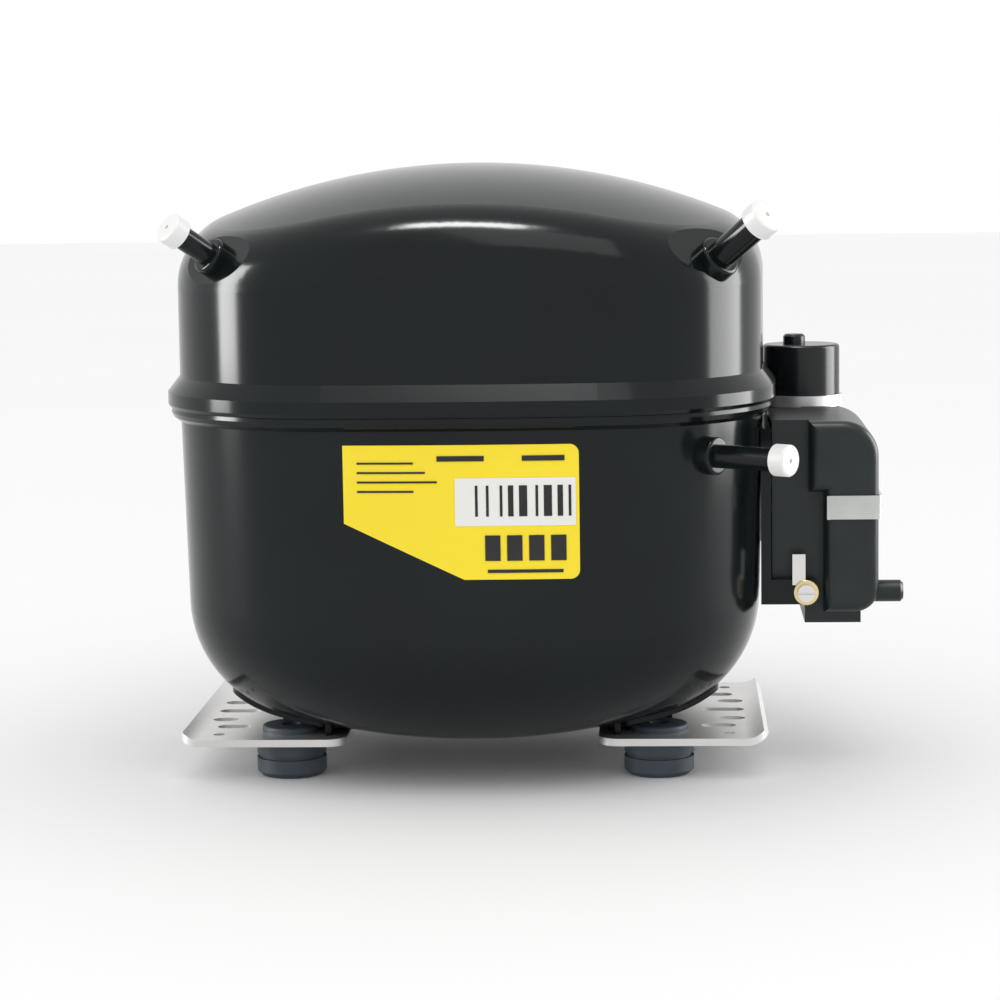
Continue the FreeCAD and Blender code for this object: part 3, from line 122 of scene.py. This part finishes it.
def surface(name, colour, metallic, rough, mottle, grain, bump, specular):
    """A finish whose colour, roughness and relief wander with a noise of the given grain."""
    material = bpy.data.materials.new(name)
    material.use_nodes = True
    tree = material.node_tree
    shader = tree.nodes["Principled BSDF"]
    shader.inputs["Metallic"].default_value = metallic
    shader.inputs["Specular IOR Level"].default_value = specular
    place = tree.nodes.new("ShaderNodeTexCoord")
    cloud = noise(tree, place, 1 / (CLOUD_GRAINS * grain * MM), CLOUD_DETAIL)
    tint = tree.nodes.new("ShaderNodeValToRGB")
    for stop, factor in zip(tint.color_ramp.elements, (1 - mottle, 1 + mottle / 2)):
        stop.color = [min(1, channel * factor) for channel in colour[:3]] + [1]
    tint.color_ramp.elements[0].position = TINT_FROM
    tint.color_ramp.elements[1].position = TINT_TO
    link(tree, cloud, "Fac", tint, "Fac")
    link(tree, tint, "Color", shader, "Base Color")
    spread = tree.nodes.new("ShaderNodeMapRange")
    spread.inputs["To Min"].default_value = rough * (1 - ROUGH_SPREAD)
    spread.inputs["To Max"].default_value = rough * (1 + ROUGH_SPREAD)
    link(tree, cloud, "Fac", spread, "Value")
    link(tree, spread, "Result", shader, "Roughness")
    fine = noise(tree, place, 1 / (grain * MM), GRAIN_DETAIL)
    relief = tree.nodes.new("ShaderNodeBump")
    relief.inputs["Strength"].default_value = 1.0
    relief.inputs["Distance"].default_value = bump * MM
    link(tree, fine, "Fac", relief, "Height")
    link(tree, relief, "Normal", shader, "Normal")
    return material


def dress_nodes():
    """Gives each CAD node the finish of its own slot."""
    colours = {m["slot"]: m["base_color"] for m in record["materials"]}
    finishes = {slot: surface(slot, colours[slot], *FINISHES[slot]) for slot in FINISHES}
    for part in record["subparts"]:
        node = nodes[part["node"]]
        node.data.materials.clear()
        node.data.materials.append(finishes[part["material_slot"]])


# ------------------------------------------------------------------ printed label
PRINT_LIFT = 0.12 * MM
PRINT_STEPS = 12              # faces across each printed mark, so that it follows the curved label
# Places on the label are shares of its width, from the left, and of its height, from the bottom.
PANEL = (0.475, 0.985, 0.40, 0.755)
HEADS = [(0.40, 0.60, 0.88, 0.92), (0.76, 0.94, 0.88, 0.92)]
FOOT = (0.61, 0.93, 0.05, 0.075)
BAR_WIDTHS = (1, 2, 1, 3, 1, 1, 2, 1, 3, 2, 1, 1, 3, 1, 2, 1, 1, 2)
BAR_START, BAR_UNIT, BAR_GAP = 0.56, 0.0115, 0.006
BAR_FOOT, BAR_TOP = 0.47, 0.70
LINE_COUNT, LINE_PITCH = 4, 0.07
LINE_LEFT, LINE_RIGHT, LINE_RAGGED = 0.06, 0.30, 0.05
LINE_FOOT, LINE_TOP = 0.86, 0.875
BLOCK_COUNT, BLOCK_PITCH = 4, 0.093
BLOCK_LEFT, BLOCK_RIGHT = 0.60, 0.665
BLOCK_FOOT, BLOCK_TOP = 0.14, 0.33


def front_surface(node):
    """Ray caster onto a node's outside, seen from the front (-Y)."""
    mesh = nodes[node].data
    tree = BVHTree.FromPolygons([v.co for v in mesh.vertices], [p.vertices for p in mesh.polygons])
    return lambda x, z: tree.ray_cast(Vector((x, -1, z)), Vector((0, 1, 0)))[:2]


def printed(name, marks, finish, lift):
    """Marks printed on the label, given as (left, right, foot, top): thin skins, raised by lift."""
    low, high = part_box("label_plate")
    width, height = high.x - low.x, high.z - low.z
    touch = front_surface("label_plate")
    mesh = bmesh.new()
    for left, right, foot, top in marks:
        x0, x1 = low.x + left * width, low.x + right * width
        z0, z1 = low.z + foot * height, low.z + top * height
        grid = []
        for i in range(PRINT_STEPS + 1):
            row = []
            for k in range(PRINT_STEPS + 1):
                hit, normal = touch(x0 + (x1 - x0) * i / PRINT_STEPS, z0 + (z1 - z0) * k / PRINT_STEPS)
                row.append(mesh.verts.new(hit + normal * lift) if hit else None)
            grid.append(row)
        for a, b in zip(grid, grid[1:]):
            for k in range(PRINT_STEPS):
                corners = (a[k], b[k], b[k + 1], a[k + 1])
                if all(corners):
                    mesh.faces.new(corners)
    data = bpy.data.meshes.new(name)
    mesh.to_mesh(data)
    data.materials.append(surface(*finish))
    piece = bpy.data.objects.new(name, data)
    bpy.context.collection.objects.link(piece)
    for face in data.polygons:
        face.use_smooth = True
    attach(piece, "shell")


def bars():
    """Upright bars of uneven width, every second one left blank."""
    start, marks = BAR_START, []
    for count, units in enumerate(BAR_WIDTHS):
        if count % 2 == 0:
            marks.append((start, start + units * BAR_UNIT, BAR_FOOT, BAR_TOP))
        start += units * BAR_UNIT + BAR_GAP
    return marks


def lines():
    """Lines of small print, with a ragged right edge."""
    marks = []
    for k in range(LINE_COUNT):
        right = LINE_RIGHT + LINE_RAGGED * (k % 3)
        marks.append((LINE_LEFT, right, LINE_FOOT - LINE_PITCH * k, LINE_TOP - LINE_PITCH * k))
    return marks


def blocks():
    """Plain blocks where large figures would stand."""
    return [(BLOCK_LEFT + BLOCK_PITCH * k, BLOCK_RIGHT + BLOCK_PITCH * k, BLOCK_FOOT, BLOCK_TOP)
            for k in range(BLOCK_COUNT)]


def label_print():
    printed("label_panel", [PANEL], ("label_white", *LABEL_WHITE), PRINT_LIFT)
    marks = bars() + lines() + HEADS + blocks() + [FOOT]
    printed("label_bars", marks, ("label_ink", *LABEL_INK), 2 * PRINT_LIFT)


# ------------------------------------------------------------------ pieces that bend inside the shell
def flexible(node):
    """A loose copy of a springy CAD node, which lies between the shell and the hung pump; the CAD node
    itself is hidden.
    """
    piece = nodes[node].copy()
    piece.data = nodes[node].data.copy()
    piece.name = node + "_bending"
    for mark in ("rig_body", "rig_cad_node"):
        del piece[mark]
    piece.parent = None
    bpy.context.collection.objects.link(piece)
    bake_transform(piece)
    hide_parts(node)


def flexible_pieces():
    flexible("suspension_springs")
    flexible("motor_leads")
    flexible("discharge_loop")


# ------------------------------------------------------------------ floor, light, camera
FLOOR_SIZE = 12
FLOOR_DROP = 0.2 * MM         # the floor lies this far below the feet, so the two don't share a plane
LAMP_TARGET = (0, 0, 0.12)
# Each lamp: place, width, height, radiance, and whether it lights matt surfaces as well as glossy ones.
LAMPS = {
    "left_strip": ((-1.08, -0.17, 0.38), 0.30, 0.7, 26, False),
    "right_strip": ((0.75, 0.12, 0.29), 0.44, 0.55, 10, False),
    "top_strip": ((-0.05, -0.25, 1.2), 0.34, 0.16, 50, False),
    "key": ((0.3, -0.9, 1.5), 0.8, 0.8, 1.6, True),
}
CAMERA_PLACE = (0.0664, -1.0439, 0.2143)
CAMERA_YAW, CAMERA_PITCH, CAMERA_ROLL = 0.056, 0.118, -0.014
CAMERA_LENS, CAMERA_SENSOR = 107.24, 36          # mm
CAMERA_NEAREST = 0.01


def floor():
    bpy.ops.mesh.primitive_plane_add(size=FLOOR_SIZE, location=(0, 0, -FLOOR_DROP))
    ground = bpy.context.object
    ground.name = "studio_floor"
    ground.data.materials.append(surface("studio_floor", *FLOOR_PAINT))


def softbox(name, place, width, height, radiance, lights_matt):
    """A rectangular lamp of a given radiance, aimed at the object."""
    lamp = bpy.data.lights.new(name, "AREA")
    lamp.shape = "RECTANGLE"
    lamp.size, lamp.size_y = width, height
    lamp.energy = radiance * math.pi * width * height
    holder = bpy.data.objects.new(name, lamp)
    bpy.context.collection.objects.link(holder)
    aim = (Vector(LAMP_TARGET) - Vector(place)).to_track_quat("-Z", "Y")
    holder.matrix_world = Matrix.Translation(place) @ aim.to_matrix().to_4x4()
    holder.visible_diffuse = lights_matt
    holder.visible_camera = False


def light():
    world = bpy.data.worlds.new("studio")
    world.use_nodes = True
    sky = world.node_tree.nodes["Background"]
    sky.inputs["Color"].default_value = (1, 1, 1, 1)
    sky.inputs["Strength"].default_value = 1.0
    bpy.context.scene.world = world
    for name, lamp in LAMPS.items():
        softbox(name, *lamp)


def camera():
    lens = bpy.data.cameras.new("camera")
    lens.lens, lens.sensor_width = CAMERA_LENS, CAMERA_SENSOR
    lens.clip_start = CAMERA_NEAREST
    eye = bpy.data.objects.new("camera", lens)
    bpy.context.collection.objects.link(eye)
    turn = (Matrix.Rotation(CAMERA_YAW, 4, "Z") @ Matrix.Rotation(math.pi / 2 - CAMERA_PITCH, 4, "X")
            @ Matrix.Rotation(CAMERA_ROLL, 4, "Z"))
    eye.matrix_world = Matrix.Translation(CAMERA_PLACE) @ turn
    bpy.context.scene.camera = eye


dress_nodes()
label_print()
flexible_pieces()
floor()
light()
camera()
bpy.context.scene.view_settings.view_transform = "Standard"
